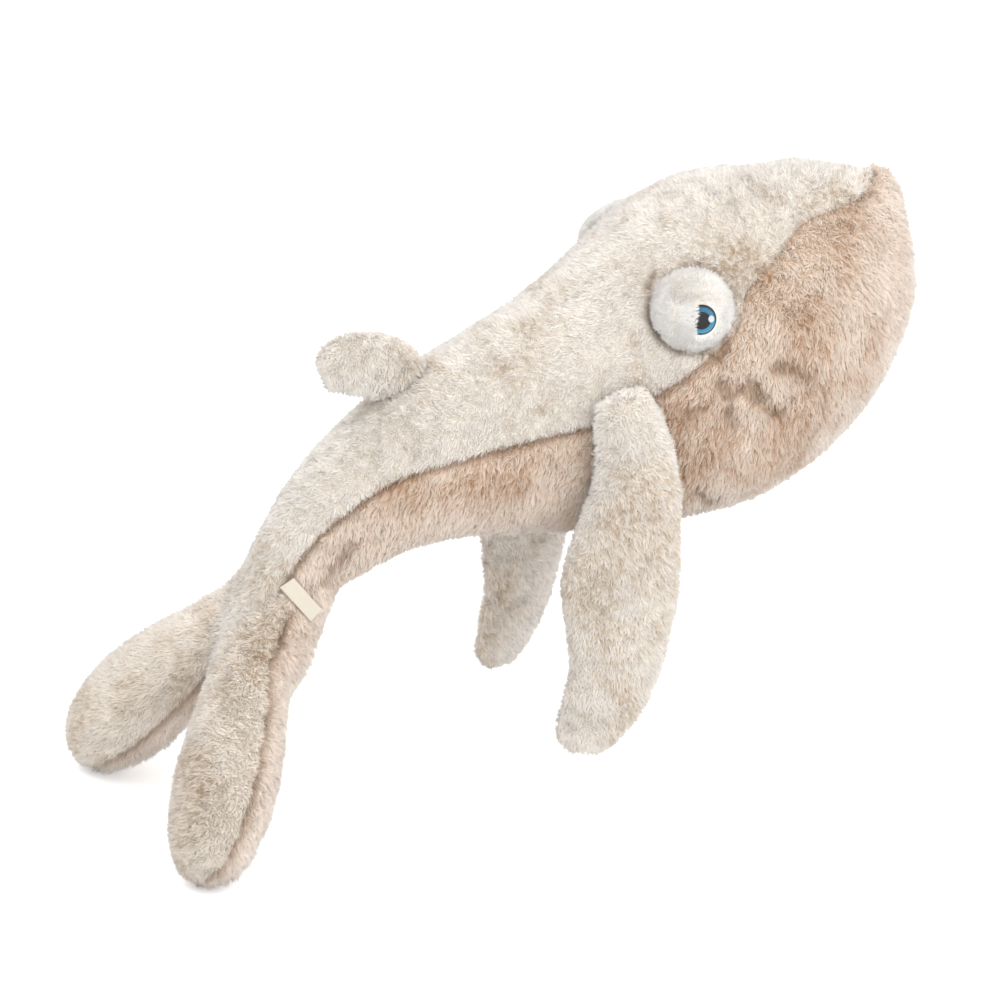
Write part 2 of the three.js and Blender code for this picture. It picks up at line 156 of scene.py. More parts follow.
along, up, high, wide = BODY_SHARES.T
body_rows = np.column_stack([TAIL_END[0] + along * BODY_REACH, np.zeros(len(along)),
                             TAIL_END[2] + up * BODY_RISE, wide * HEAD_WIDTH, high * HEAD_HEIGHT])
body = Form(body_rows, -SIDEWAYS)


# %% [markdown]
# The tail ends in two fluke lobes, fat sausages that hang from the fork along a straight line.

# %% The fluke lobes
FLUKE_REACH, FLUKE_WIDTH, FLUKE_THICKNESS = 0.272, 0.134, 0.112
FLUKE_SPLAY, FLUKE_PITCH = math.radians(34.4), math.radians(57.5)
FORK_OFFSET = 0.042
FLUKE_SHARES = np.array([
    [0.05, 0.75, 0.76], [0.24, 0.88, 0.87], [0.45, 0.98, 0.97], [0.65, 0.99, 0.95], [0.82, 0.85, 0.79],
    [0.935, 0.58, 0.52], [1.0, 0.0, 0.0],
])
fork = TAIL_END + np.array([0.002 * BODY_REACH, 0.0, 0.104 * BODY_RISE])
fluke_down = np.array([-math.cos(FLUKE_PITCH), 0.0, -math.sin(FLUKE_PITCH)])
fluke_up = np.array([-math.sin(FLUKE_PITCH), 0.0, math.cos(FLUKE_PITCH)])
lobe_line = fluke_down * math.cos(FLUKE_SPLAY) - SIDEWAYS * math.sin(FLUKE_SPLAY)
# Places from the tail's end, widths and heights of the sections inside the tail
LOBE_ROOT = np.array([
    [0.078, -0.004, 0.148, 0.0, 0.0], [0.072, -0.006, 0.136, 0.056, 0.064],
    [0.050, -0.018, 0.099, 0.078, 0.078], [0.023, -0.034, 0.066, 0.094, 0.084],
])
LOBE_ROOT[:, :3] += TAIL_END
lobe_rows = np.vstack([LOBE_ROOT, np.column_stack([
    fork - SIDEWAYS * FORK_OFFSET + FLUKE_SHARES[:, :1] * FLUKE_REACH * lobe_line,
    FLUKE_SHARES[:, 1] * FLUKE_WIDTH, FLUKE_SHARES[:, 2] * FLUKE_THICKNESS])])
lobe = Form(lobe_rows, np.cross(lobe_line, fluke_up))
left_lobe = Form(lobe_rows * [1, -1, 1, 1, 1], np.cross(lobe_line, fluke_up) * [1, -1, 1])


# %% [markdown]
# Fins are limbs with a round root. A place and two directions, forwards and out, set them on the body.

# %% The fins
def limb(shares, reach, width, thickness, root_share, place, forward, out, sink):
    """A limb form: rows that round off the root, sunk towards the body by the vector sink, then its
    stations, which are shares outwards and forwards of the reach, of the width and of the thickness."""
    angles = np.radians([0.0, 36.0, 90.0])
    root = np.column_stack([
        -thickness / 2 * np.cos(angles), np.zeros(3),
        np.array([0.0, 0.78, 1.0]) * root_share * width, thickness * np.sin(angles)])
    rest = np.column_stack([shares[:, 0] * reach, shares[:, 1] * reach,
                            shares[:, 2] * width, shares[:, 3] * thickness])
    rows = np.vstack([root, rest])
    sunk = clamp(1 - (rows[:, 0] + thickness / 2) / (1.4 * thickness)) ** 1.5
    midline = place + rows[:, :1] * out + rows[:, 1:2] * forward + sunk[:, None] * sink
    return Form(np.column_stack([midline, rows[:, 2:]]), forward)


FIN_REACH, FIN_WIDTH, FIN_THICKNESS = 0.361, 0.136, 0.054
FIN_PITCH, FIN_TOE = math.radians(19), math.radians(18)
FIN_STANDOFF, FIN_ROOT_SHARE, FIN_ROOT_SINK = 0.0016, 0.56, 0.020
FIN_STATION, FIN_ANGLE = 0.569, math.radians(12)
FIN_SHARES = np.array([
    [0.2, -0.045, 0.73, 1.0], [0.36, -0.125, 0.89, 1.0], [0.5, -0.2, 1.0, 0.97],
    [0.66, -0.262, 0.9, 0.88], [0.79, -0.326, 0.77, 0.78], [0.89, -0.412, 0.66, 0.67],
    [0.967, -0.5, 0.45, 0.46], [1.0, -0.529, 0.0, 0.0],
])


def seat(t, angle):
    """A place on the body's skin at t and the angle up from the right flank, with the way out."""
    middle, along, side, up, wide, high = body.section(np.array([t]))
    place = middle + side * wide[:, None] * math.cos(angle) + up * high[:, None] * math.sin(angle)
    out = unit(side * math.cos(angle) / wide[:, None] + up * math.sin(angle) / high[:, None])
    return place[0], out[0], along[0]


fin_seat, fin_out, _ = seat(FIN_STATION, FIN_ANGLE)
fin_forward = np.array([math.cos(FIN_PITCH) * math.cos(FIN_TOE),
                        -math.cos(FIN_PITCH) * math.sin(FIN_TOE), math.sin(FIN_PITCH)])
fin_down = np.array([math.sin(FIN_PITCH) * math.cos(FIN_TOE),
                     -math.sin(FIN_PITCH) * math.sin(FIN_TOE), -math.cos(FIN_PITCH)])
fin_place = fin_seat + fin_out * (FIN_THICKNESS / 2 + FIN_STANDOFF)
fin = limb(FIN_SHARES, FIN_REACH, FIN_WIDTH, FIN_THICKNESS, FIN_ROOT_SHARE, fin_place, fin_forward,
           fin_down, -fin_out * FIN_ROOT_SINK)

DORSAL_REACH, DORSAL_WIDTH, DORSAL_THICKNESS = 0.058, 0.080, 0.042
DORSAL_STANDOFF, DORSAL_ROOT_SHARE, DORSAL_ROOT_SINK = -0.0006, 0.94, 0.012
DORSAL_STATION, DORSAL_PITCH = 0.438, math.radians(38)
DORSAL_SHARES = np.array([
    [0.33, -0.2, 1.0, 1.0], [0.69, -0.56, 0.95, 0.96], [0.93, -0.95, 0.7, 0.7], [1.0, -1.1, 0.0, 0.0],
])
back_ahead = np.array([math.cos(DORSAL_PITCH), 0.0, math.sin(DORSAL_PITCH)])
back_up = np.array([-math.sin(DORSAL_PITCH), 0.0, math.cos(DORSAL_PITCH)])
dorsal_place = seat(DORSAL_STATION, math.pi / 2)[0] + back_up * (DORSAL_THICKNESS / 2 + DORSAL_STANDOFF)
dorsal = limb(DORSAL_SHARES, DORSAL_REACH, DORSAL_WIDTH, DORSAL_THICKNESS, DORSAL_ROOT_SHARE,
              dorsal_place, back_ahead, back_up, -back_up * DORSAL_ROOT_SINK)


# %% [markdown]
# The panels are cut along seams. The side seam runs from the fork to the nose, where the beige jaw
# takes the whole width. A panel is a patch of the form: u runs along it and v from seam to seam.

# %% Panels of the body
SEAM_SHARES = np.array([
    [0.0, 0.38], [0.155, 0.38], [0.21, 0.49], [0.25, 0.48], [0.28, 0.42], [0.34, 0.35], [0.38, 0.33],
    [0.41, 0.27], [0.45, 0.17], [0.5, 0.15], [0.55, 0.14], [0.6, 0.2], [0.67, 0.29], [0.69, 0.36],
    [0.705, 0.48], [0.76, 0.58], [0.79, 0.65], [0.81, 0.64], [0.84, 0.54], [0.875, 0.48], [0.905, 0.58],
    [0.925, 0.72], [0.945, 1.0], [1.0, 1.0],
])
LOBE_SEAM_SHARES = np.array([[0.0, 0.42], [0.2, 0.36], [0.3, 0.2], [0.4, 0.05], [0.5, 0.0], [1.0, 0.0]])
LEVEL_SHARES = np.array([[0.0, 0.0], [1.0, 0.0]])
NOSE_SEAM, THROAT = 0.945, 0.6
HEAD_START = TAIL_END[0] + 0.62 * BODY_REACH


def seam_angle(table, t):
    """The side seam's angle up from the side: the arc sine of its share of the half height."""
    return np.arcsin(np.interp(t, table[:, 0], table[:, 1]))


def half_above(form, table, first, last, both=False):
    """The panel above the seam, from its near side to the middle of the top, or over to the far side."""
    def patch(u, v):
        t = first + u * (last - first)
        low = seam_angle(table, t)
        return form.at(t, low + v * ((math.pi if both else math.pi / 2) - low - (low if both else 0)))
    return patch


def half_below(form, table, first, last):
    """The panel below the seam, from the far side under the form to the near one."""
    def patch(u, v):
        t = first + u * (last - first)
        high = seam_angle(table, t)
        return form.at(t, -math.pi - high + v * (math.pi + 2 * high))
    return patch


back_panel = half_above(body, SEAM_SHARES, 0.0, NOSE_SEAM)
belly_panel = half_below(body, SEAM_SHARES, 0.0, THROAT)
jaw_panel = half_below(body, SEAM_SHARES, THROAT, 1.0)
lobe_top = half_above(lobe, LOBE_SEAM_SHARES, 0.0, 1.0, both=True)
lobe_under = half_below(lobe, LOBE_SEAM_SHARES, 0.0, 1.0)
fin_inner = half_above(fin, LEVEL_SHARES, 0.0, 1.0, both=True)
fin_outer = half_below(fin, LEVEL_SHARES, 0.0, 1.0)
dorsal_half = half_below(dorsal, LEVEL_SHARES, 0.0, 1.0)


# %% [markdown]
# ## Sewn edges, creases and joins
# Seams pull the fabric in, and so do creases, along lines on the body. Where two stuffed forms meet,
# the fabric spans the corner between them, so there the surface swells a little instead.

# %% Creases
def crease(stations, depth, width):
    """A dent along a line on the body, through places given as t and degrees. It tells how far points
    sink, which falls off as a bell with their distance from the line."""
    rows = through(np.array(stations, float), np.linspace(0, 1, 48))
    line = body.at(rows[:, 0], np.radians(rows[:, 1]))

    def sink(points):
        near = np.min(np.sum(points ** 2, axis=1)[:, None] - 2 * points @ line.T
                      + np.sum(line ** 2, axis=1), axis=1)
        return depth * np.exp(-np.maximum(near, 0) / width ** 2)

    return sink


RIGHT_CREASES = [
    crease([[0.641, 56], [0.629, 51], [0.622, 43], [0.62, 37], [0.624, 31], [0.63, 26]], 0.007, 0.0065),
    crease([[0.646, 21], [0.653, 17], [0.663, 16], [0.674, 19]], 0.007, 0.0065),
    crease([[0.692, 37], [0.699, 32], [0.706, 27]], 0.005, 0.005),
    crease([[0.651, 5], [0.655, 1], [0.663, 0]], 0.009, 0.0085),
    crease([[0.672, -1], [0.673, -6], [0.676, -11], [0.68, -16]], 0.010, 0.0095),
    crease([[0.694, 0], [0.704, -5], [0.711, -13]], 0.008, 0.009),
    crease([[0.649, -5], [0.649, -12]], 0.006, 0.008),
    crease([[0.616, 1], [0.628, 0]], 0.006, 0.008),
    crease([[0.61, -40], [0.616, -47], [0.622, -54]], 0.008, 0.008),
    crease([[0.795, 103], [0.79, 84], [0.785, 64]], 0.0025, 0.011),
    crease([[0.33, -4], [0.315, -10], [0.29, -12], [0.262, -2]], 0.005, 0.010),
]


def other_side(points):
    """The points' Y turned round."""
    return points * [1.0, -1.0, 1.0]


def on_the_right(points):
    """The points, with those on the left turned over to the right."""
    right = points.copy()
    right[:, 1] = -np.abs(points[:, 1])
    return right


def crease_sink(points):
    """The creases of both sides, moved a little by noise so that none runs quite straight, and a ring
    of creases round the eye's dome."""
    right = on_the_right(points)
    off = in_eye(right)
    share = lengths(off / EYE_RADII)
    ahead = np.abs(off[:, :2] @ [0.85, 0.5]) / (lengths(off[:, :2]) + 1e-9)
    ring = 0.005 * (0.25 + 0.75 * ahead) * np.exp(-((share - 1.03) / 0.08) ** 2)
    moved = right + wander3(right, 0.014, 61) * 0.004
    return ring + (1 + 0.4 * wander(right, 0.012, 71)) * np.sum(
        [sink(moved) for sink in RIGHT_CREASES], axis=0)


def swell(points, forms, reach):
    """Outward swelling near other forms: a quarter of the reach where they touch, and none at the
    reach."""
    total = np.zeros(len(points))
    for form in forms:
        gap = np.clip(-form.depth(points), 0, reach)
        total = np.maximum(total, reach / 4 * (1 - gap / reach) ** 2)
    return total


# %% [markdown]
# ## Noise and clumps
# Fur needs randomness with a size: a lean that wanders over the body, and clumps a few millimetres
# wide. Both come from lattices of scrambled numbers, so a place always gets the same answer.

# %% Noise as whole arrays
def hashed(cells, seed):
    """A number from 0 to 1 for each row of whole numbers: their weighted sum, scrambled by a sine."""
    mixed = cells @ np.array([127.1, 311.7, 74.7]) + seed * 53.3
    return np.modf(np.abs(np.sin(mixed) * 43758.5453))[0]


CORNERS = np.array([[i, j, k] for i in (0, 1) for j in (0, 1) for k in (0, 1)], float)
NEIGHBOURS = np.array([[i, j, k] for i in (-1, 0, 1) for j in (-1, 0, 1) for k in (-1, 0, 1)], float)


def wander(points, size, seed):
    """Smooth noise from -1 to 1: numbers at the corners of a lattice of that size, mixed in between."""
    base = np.floor(points / size)
    f = points / size - base
    f = f * f * (3 - 2 * f)
    total = np.zeros(len(points))
    for corner in CORNERS:
        total += np.prod(np.where(corner > 0, f, 1 - f), axis=1) * hashed(base + corner, seed)
    return total * 2 - 1


def wander3(points, size, seed):
    """Three independent noises, as a vector."""
    return np.column_stack([wander(points, size, seed + k) for k in range(3)])


def clump_middle(points, size, seed):
    """The nearest of the middles that lie one in each cell of a lattice, moved about at random."""
    base = np.floor(points / size)
    best = np.full(len(points), 1e9)
    middle = points.copy()
    for step in NEIGHBOURS:
        cell = base + step
        place = (cell + np.column_stack([hashed(cell, seed + k) for k in range(3)])) * size
        off = np.sum((place - points) ** 2, axis=1)
        closer = off < best
        best[closer], middle[closer] = off[closer], place[closer]
    return middle


# %% [markdown]
# ## Panels and pile
# Plush is a knitted backing, here a grid a little under the surface, with fibres standing in it. They
# are fine three-sided spikes, because hair curves wouldn't last outside Blender.

# %% Meshes from arrays
def placed(name, data):
    """A new object of the data, in the scene."""
    thing = bpy.data.objects.new(name, data)
    bpy.context.scene.collection.objects.link(thing)
    return thing


def mesh_object(name, points, faces, normals=None, bake_map=None, **attributes):
    """A mesh object at the origin from arrays of points and of faces that all have as many sides, with
    a texture place for each corner in the bake map."""
    mesh = bpy.data.meshes.new(name)
    count, sides = faces.shape
    mesh.vertices.add(len(points))
    mesh.vertices.foreach_set("co", points.astype(np.float32).ravel())
    mesh.loops.add(count * sides)
    mesh.loops.foreach_set("vertex_index", faces.astype(np.int32).ravel())
    mesh.polygons.add(count)
    mesh.polygons.foreach_set("loop_start", np.arange(count, dtype=np.int32) * sides)
    mesh.polygons.foreach_set("use_smooth", np.full(count, True))
    mesh.update(calc_edges=True)
    if bake_map is not None:
        mesh.uv_layers.new(name="OFBake").data.foreach_set("uv", bake_map.astype(np.float32).ravel())
    for key, values in attributes.items():
        vector = values.ndim > 1
        layer = mesh.attributes.new(key, "FLOAT_VECTOR" if vector else "FLOAT", "POINT")
        layer.data.foreach_set("vector" if vector else "value", values.astype(np.float32).ravel())
    if normals is not None:
        mesh.normals_split_custom_set_from_vertices(normals.astype(np.float32))
    return placed(name, mesh)


def quads(index):
    """Four-sided faces between the neighbours in a table of vertex numbers."""
    return np.stack([index[:-1, :-1], index[1:, :-1], index[1:, 1:], index[:-1, 1:]], -1).reshape(-1, 4)


def rings(count, around, first=0):
    """Vertex numbers of so many rings, each closed on its first vertex."""
    index = first + np.arange(count * around).reshape(count, around)
    return np.column_stack([index, index[:, 0]])


def faced(patch, u, v, step=1.5e-3):
    """Places on a patch with the way out: the cross product of its slopes along u and v."""
    place = patch(u, v)
    along = patch(clamp(u + step), v) - patch(clamp(u - step), v)
    across = patch(u, clamp(v + step)) - patch(u, clamp(v - step))
    way = np.cross(along, across)
    flat = lengths(way) < 1e-14
    if flat.any():
        way[flat] = faced(patch, np.clip(u[flat], 0.01, 0.99), np.clip(v[flat], 0.02, 0.98))[1]
    return place, unit(way)


class Panel:
    """A panel: its patch, its sewn edges as values of v, its seams' groove, the forms that it joins on
    to and how far that swelling reaches."""

    def __init__(self, patch, edges=(0.0, 1.0), groove=0.006, groove_width=0.006, joins=(), reach=0.0,
                 left=False):
        self.right_patch, self.left = patch, left
        self.edges, self.groove, self.groove_width = edges, groove, groove_width
        self.joins, self.reach = joins, reach

    def patch(self, u, v):
        """The patch itself, or on the left its mirror image with v run the other way."""
        return other_side(self.right_patch(u, 1 - v)) if self.left else self.right_patch(u, v)

    def sink(self, place, u, v):
        """How far each point lies under the form at its sewn edges, less so on the stuffed-out head."""
        total = np.zeros(len(u))
        groove = self.groove * (1 - 0.6 * clamp((place[:, 0] - HEAD_START) / 0.06))
        for edge in self.edges:
            edge = 1 - edge if self.left else edge
            off = lengths(place - self.patch(u, np.full_like(v, edge)))
            total = np.maximum(total, groove * np.exp(-(off / self.groove_width) ** 2))
        return total

    def relief(self, place):
        """Creases, less the swelling at joins."""
        lift = swell(other_side(place) if self.left else place, self.joins, self.reach)
        return crease_sink(place) - lift if self.reach else crease_sink(place)


# The dip at which the pile's painted shade in seams and creases is full
FULL_DIP = 0.006
BACKING_CLEARANCE, ROOT_CLEARANCE, TIP_CLEARANCE = 0.003, 0.002, 0.0004


def paleness(place):
    """How much paler the pile turns: 0 over the belly and jaw, rising to 1 at the nose and at the flukes."""
    x = place[:, 0] + 0.02 * wander(place, 0.06, 81)
    return clamp((x - 0.375) / 0.05) + clamp((-0.20 - x) / 0.08)


MOTTLE_SEED = 4715


def mottle(place):
    """How brown the pile's speckle is, from 0 to 1. With this seed the brown patches fall on the flank,
    the fins' middles and the flukes."""
    total = (0.6 * wander(place, 0.075, MOTTLE_SEED) + 0.35 * wander(place, 0.032, MOTTLE_SEED + 1)
             + 0.2 * wander(place, 0.014, MOTTLE_SEED + 2))
    return clamp((total + 0.12) / 0.5)


def backing(name, panel, counts, depth):
    """A panel's knitted backing: a grid over the patch, set in by depth and pulled in at its seams."""
    u, v = grid(np.linspace(0, 1, counts[0]), np.linspace(0, 1, counts[1]))
    place, way = faced(panel.patch, u, v)
    dip = panel.sink(place, u, v)
    points = place - way * (depth + dip + panel.relief(place))[:, None]
    points[:, 2] = np.maximum(points[:, 2], BACKING_CLEARANCE)
    # dip, the seams' depth, sets the backing's painted shade in the seams
    return mesh_object(name, points, quads(np.arange(len(u)).reshape(counts)), rest_place=place,
                       dip=dip / FULL_DIP, pale=paleness(place), mottle=mottle(place))


# %% Growing the pile
rng = np.random.default_rng(7)
SPACING = 0.0015


def strewn(patch, spacing, span):
    """Places on a patch, about one to each square of the spacing: a cell's area gives its chance of
    holding a fibre, or two."""
    first, reach = span[0], span[1] - span[0]
    steps = np.linspace(0, 1, 41)
    lines = [patch(first + steps * reach, np.full(41, s)) for s in (0.25, 0.5, 0.75)]
    rims = [patch(np.full(41, s), steps) for s in np.linspace(*span, 25)]
    nu, nv = [max(int(max(lengths(np.diff(line, axis=0)).sum() for line in group) / spacing), 4)
              for group in (lines, rims)]
    u, v = grid((np.arange(nu) + 0.5) / nu, (np.arange(nv) + 0.5) / nv)
    u = first + u * reach
    du, dv = reach / nu / 2, 1 / nv / 2
    area = lengths(np.cross(patch(u + du, v) - patch(u - du, v), patch(u, v + dv) - patch(u, v - dv)))
    count = np.floor(area / spacing ** 2 + rng.random(len(area))).astype(int)
    total = count.sum()
    return [np.repeat(at, count) + rng.uniform(-half, half, total) for at, half in ((u, du), (v, dv))]


def level(vectors, way):
    """The vectors without their part along the way out."""
    return vectors - np.sum(vectors * way, axis=1)[:, None] * way


def grow(name, panel, length, depth, comb, lean, clump, pull, curl=0.8, tuft=0.3, spacing=SPACING,
         thickness=0.00075, span=(0.0, 1.0), keep=None, shape=None):
    """The pile of one panel. A fibre stands on the backing, leans with the comb and with noise, and its
    tip is drawn to the middle of its tuft, where fibres are longest. On the bake map each has a square
    of its own, with its three sides laid over each other."""
    u, v = strewn(panel.patch, spacing, span)
    place, way = faced(panel.patch, u, v)
    if keep is not None:
        kept = keep(place)
        u, v, place, way = u[kept], v[kept], place[kept], way[kept]
    n = len(u)
    dip = panel.sink(place, u, v)
    relief = panel.relief(place)
    root = place - way * (depth + dip + relief)[:, None]
    flow = level(comb(place) if callable(comb) else np.broadcast_to(comb, (n, 3)), way)
    turn = level(wander3(place, 0.05, 3) * 0.9 + wander3(place, 0.017, 9) * 0.7
                 + wander3(place, 0.0065, 15) * curl, way)
    inward = level(clump_middle(place, clump, 5) - place, way)
    edge = clamp(lengths(inward) / clump / 0.6) ** 2
    size = length * (1 + 0.2 * wander(place, 0.018, 21)) * rng.uniform(0.78, 1.1, n) * (1 - tuft * edge)
    aim = unit(way + flow * lean + turn * (0.45 * lean + 0.12) + rng.normal(0, 0.15, (n, 3)))
    tip = root + aim * size[:, None] + inward * pull
    if shape is not None:
        root, tip = shape(place, way, root, tip)
    tip[:, 2] = np.maximum(tip[:, 2], TIP_CLEARANCE + 0.001 * rng.random(n))
    root[:, 2] = np.maximum(root[:, 2], ROOT_CLEARANCE)
    axis = unit(tip - root)
    first = unit(np.cross(axis, unit(rng.normal(0, 1, (n, 3)))))
    second = np.cross(axis, first)
    wide = thickness * rng.uniform(0.75, 1.25, n)
    points, normals = np.empty((n, 4, 3)), np.empty((n, 4, 3))
    for k in range(3):
        round_way = first * math.cos(2 * math.pi * k / 3) + second * math.sin(2 * math.pi * k / 3)
        points[:, k] = root + round_way * wide[:, None]
        normals[:, k] = unit(way * 0.4 + round_way * 0.8)
    points[:, 3], normals[:, 3] = tip, unit(way * 0.7 + axis * 0.3)
    faces = (np.arange(n)[:, None, None] * 4 + np.array([[0, 1, 3], [1, 2, 3], [2, 0, 3]])).reshape(-1, 3)
    columns = math.ceil(math.sqrt(n))
    cell = np.column_stack([np.arange(n) % columns, np.arange(n) // columns])[:, None, None]
    bake_map = (cell + np.tile([[0.05, 0.05], [0.95, 0.05], [0.5, 0.95]], (1, 3, 1, 1))) / columns
    print(f"{name}: {n} fibres")
    return mesh_object(name, points.reshape(-1, 3), faces, normals.reshape(-1, 3), bake_map,
                       rest_place=np.repeat(place, 4, axis=0), fibre=np.tile([0.0, 0.0, 0.0, 1.0], n),
                       tone=np.repeat(rng.random(n), 4), pale=np.repeat(paleness(place), 4),
                       mottle=np.repeat(mottle(place), 4),
                       # dip, the depth of seams, creases and the eye dome's rim, sets the painted shade
                       # there
                       dip=np.repeat(clamp((dip + np.maximum(relief, 0)) / FULL_DIP), 4))


# %% [markdown]
# ## Finishes
# The pile's colour runs from a darker root to a pale tip, changes a little from fibre to fibre and from
# patch to patch, and takes painted shade where a seam or crease pulls it in. One node group works this
# out for all fabrics.

# %% Node helpers
def linear(colour):
    """A colour written as hex, as the linear light that shaders use."""
    parts = np.array([int(colour[i:i + 2], 16) for i in (1, 3, 5)]) / 255
    light = np.where(parts <= 0.04045, parts / 12.92, ((parts + 0.055) / 1.055) ** 2.4)
    return (*light.tolist(), 1.0)


class Tree:
    """A node tree with short ways to add the nodes used here."""

    def __init__(self, tree):
        self.nodes, self.links = tree.nodes, tree.links

    def put(self, socket, value):
        if hasattr(value, "is_linked"):
            self.links.new(value, socket)
        else:
            socket.default_value = value

    def attribute(self, key, output="Fac"):
        node = self.nodes.new("ShaderNodeAttribute")
        node.attribute_name = key
        return node.outputs[output]

    def mix(self, kind, factor, one, two):
        node = self.nodes.new("ShaderNodeMix")
        node.data_type, node.blend_type = "RGBA", kind
        for k, value in ((0, factor), (6, one), (7, two)):
            self.put(node.inputs[k], value)
        return node.outputs[2]

    def spread(self, source, low, high, out_low, out_high):
        node = self.nodes.new("ShaderNodeMapRange")
        self.links.new(source, node.inputs[0])
        for k, value in enumerate((low, high, out_low, out_high)):
            node.inputs[k + 1].default_value = value
        return node.outputs[0]

    def work_out(self, operation, *values):
        node = self.nodes.new("ShaderNodeMath")
        node.operation = operation
        for socket, value in zip(node.inputs, values):
            self.put(socket, value)
        return node.outputs[0]

    def times(self, one, two):
        return self.work_out("MULTIPLY", one, two)

    def noise(self, place, scale, detail):
        node = self.nodes.new("ShaderNodeTexNoise")
        node.inputs["Scale"].default_value, node.inputs["Detail"].default_value = scale, detail
        self.links.new(place, node.inputs["Vector"])
        return node.outputs[0]


def group_with(name, inputs, output):
    """An empty node group with these inputs, name and kind, and one output."""
    group = bpy.data.node_groups.new(name, "ShaderNodeTree")
    for key, kind in inputs:
        group.interface.new_socket(key, in_out="INPUT", socket_type=kind)
    group.interface.new_socket(output[0], in_out="OUTPUT", socket_type=output[1])
    return group, Tree(group), group.nodes.new("NodeGroupInput"), group.nodes.new("NodeGroupOutput")


# %% The pile's colours
# Colour of the painted shade in seams and creases, multiplied into the pile
SEAM_SHADE = (0.46, 0.35, 0.27, 1.0)


def pile_tones():
    """Colour of a point on a fibre: root to tip, times mottled patches and specks that are denser
    there, paler at the nose and flukes, times the fibre's own tone, with painted shade in seams and creases."""
    colour, number = "NodeSocketColor", "NodeSocketFloat"
    group, tree, sockets, result = group_with(
        "pile_tones", [("Root", colour), ("Tip", colour), ("Patch", colour), ("Patch Weight", number),
                       ("Pale Weight", number), ("Seam Shade", number)], ("Colour", colour))
    given = sockets.outputs
    place = tree.attribute("rest_place", "Vector")
    height = tree.spread(tree.attribute("fibre"), 0.0, 0.8, 0.0, 1.0)
    along = tree.mix("MIX", height, given["Root"], given["Tip"])
    broad = tree.attribute("mottle")
    patched = tree.mix("MULTIPLY", tree.times(broad, given["Patch Weight"]), along,
                       given["Patch"])
    specks = tree.times(tree.spread(tree.noise(place, 170.0, 2.0), 0.56, 0.40, 0.0, 1.0),
                        tree.spread(broad, 0.0, 1.0, 0.2, 0.85))
    specked = tree.mix("MULTIPLY", specks, patched, given["Patch"])
    fine = tree.mix("MIX", tree.times(tree.attribute("pale"), given["Pale Weight"]), specked,
                    given["Tip"])
    toned = tree.mix("MULTIPLY", 1.0, fine, tree.spread(tree.attribute("tone"), 0.0, 1.0, 0.93, 1.05))
    # Painted shade in seams and creases: the dip times its weight, multiplied in with SEAM_SHADE
    seam = tree.times(tree.attribute("dip"), given["Seam Shade"])
    tree.put(result.inputs["Colour"], tree.mix("MULTIPLY", seam, toned, SEAM_SHADE))
    return group


PILE_TONES = pile_tones()


def new_material(name, roughness, specular, sheen=0.0):
    """A material with plain values on its shader, its node tree and its shader."""
    material = bpy.data.materials.new(name)
    material.use_nodes = True
    shader = material.node_tree.nodes["Principled BSDF"]
    for key, value in (("Roughness", roughness), ("Specular IOR Level", specular),
                       ("Sheen Weight", sheen), ("Sheen Roughness", 0.5)):
        shader.inputs[key].default_value = value
    return material, Tree(material.node_tree), shader


def pile_finish(name, slot, root, tip, patch, patch_weight=0.3, pale_weight=0.0):
    """A soft fibre's material and slot: the pile group's colour on a rough shader with some sheen."""
    material, tree, shader = new_material(name, 0.85, 0.15, 0.8)
    group = tree.nodes.new("ShaderNodeGroup")
    group.node_tree = PILE_TONES
    for key, value in [("Root", linear(root)), ("Tip", linear(tip)), ("Patch", linear(patch)),
                       ("Patch Weight", patch_weight), ("Pale Weight", pale_weight), ("Seam Shade", 0.7)]:
        group.inputs[key].default_value = value
    tree.put(shader.inputs["Base Color"], group.outputs["Colour"])
    return material, slot


cream_pile = pile_finish("cream pile", "cream_fur", "#f4ece2", "#fffaf3", "#d8c9b6")
fluke_pile = pile_finish("fluke pile", "cream_fur", "#f1e6d8", "#fef5e9", "#d8c9b6")
fin_pile = pile_finish("fin pile", "cream_fur", "#f4ebe0", "#fffaf3", "#e6dbcc")
cream_back = pile_finish("cream backing", "cream_fur", "#efe5d8", "#efe5d8", "#dccdba")
beige_pile = pile_finish("beige pile", "beige_fur", "#e6ccb5", "#fff1e3", "#dbc5af", 0.4, 0.6)
beige_back = pile_finish("beige backing", "beige_fur", "#d6bda3", "#fff1e3", "#dbc5af", 0.4, 0.6)
white_pile = pile_finish("white pile", "white_fur", "#fdfaf5", "#fffdfa", "#f7f3ec", 0.2)
white_back = pile_finish("white backing", "white_fur", "#f5f0e8", "#f5f0e8", "#f5f0e7", 0.2)
wadding = pile_finish("wadding", "stuffing", "#f4f3ef", "#f4f3ef", "#e8e6e0")


def dressed(piece, finish, fill=None):
    """A piece with its finish's material; the finish's slot is not used, and fill is not used."""
    material, slot = finish
    piece.data.materials.append(material)
    return piece


# %% [markdown]
# ## Which body holds each piece
# The skin runs on without a break from the back into the tail, and flukes and fins are sewn on. A piece
# on one body rides on it; a piece given a bend between two bodies stays where it stands, baked in place.

# %% Bends
BEND_STATION = 0.37
_, _, bend_along = seat(BEND_STATION, 0.0)
bend_middle = body.section(np.array([BEND_STATION]))[0][0]


def held(piece, first, second=None, start=None, end=None):
    """The piece rides on one body, or, given a second, stays where it stands with its place baked in."""
    if second is None:
        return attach(piece, first)
    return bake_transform(piece, first, second, start=tuple(start), end=tuple(end))


def standing_for(piece, bend, *nodes):
    """The piece held by the bend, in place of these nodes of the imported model."""
    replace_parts(held(piece, *bend), *nodes)


def sewn(name, panel, counts, depth, finish, fill, bend, *nodes):
    """A panel's backing with its finish, in place of its nodes."""
    standing_for(dressed(backing(name, panel, counts, depth), finish, fill), bend, *nodes)


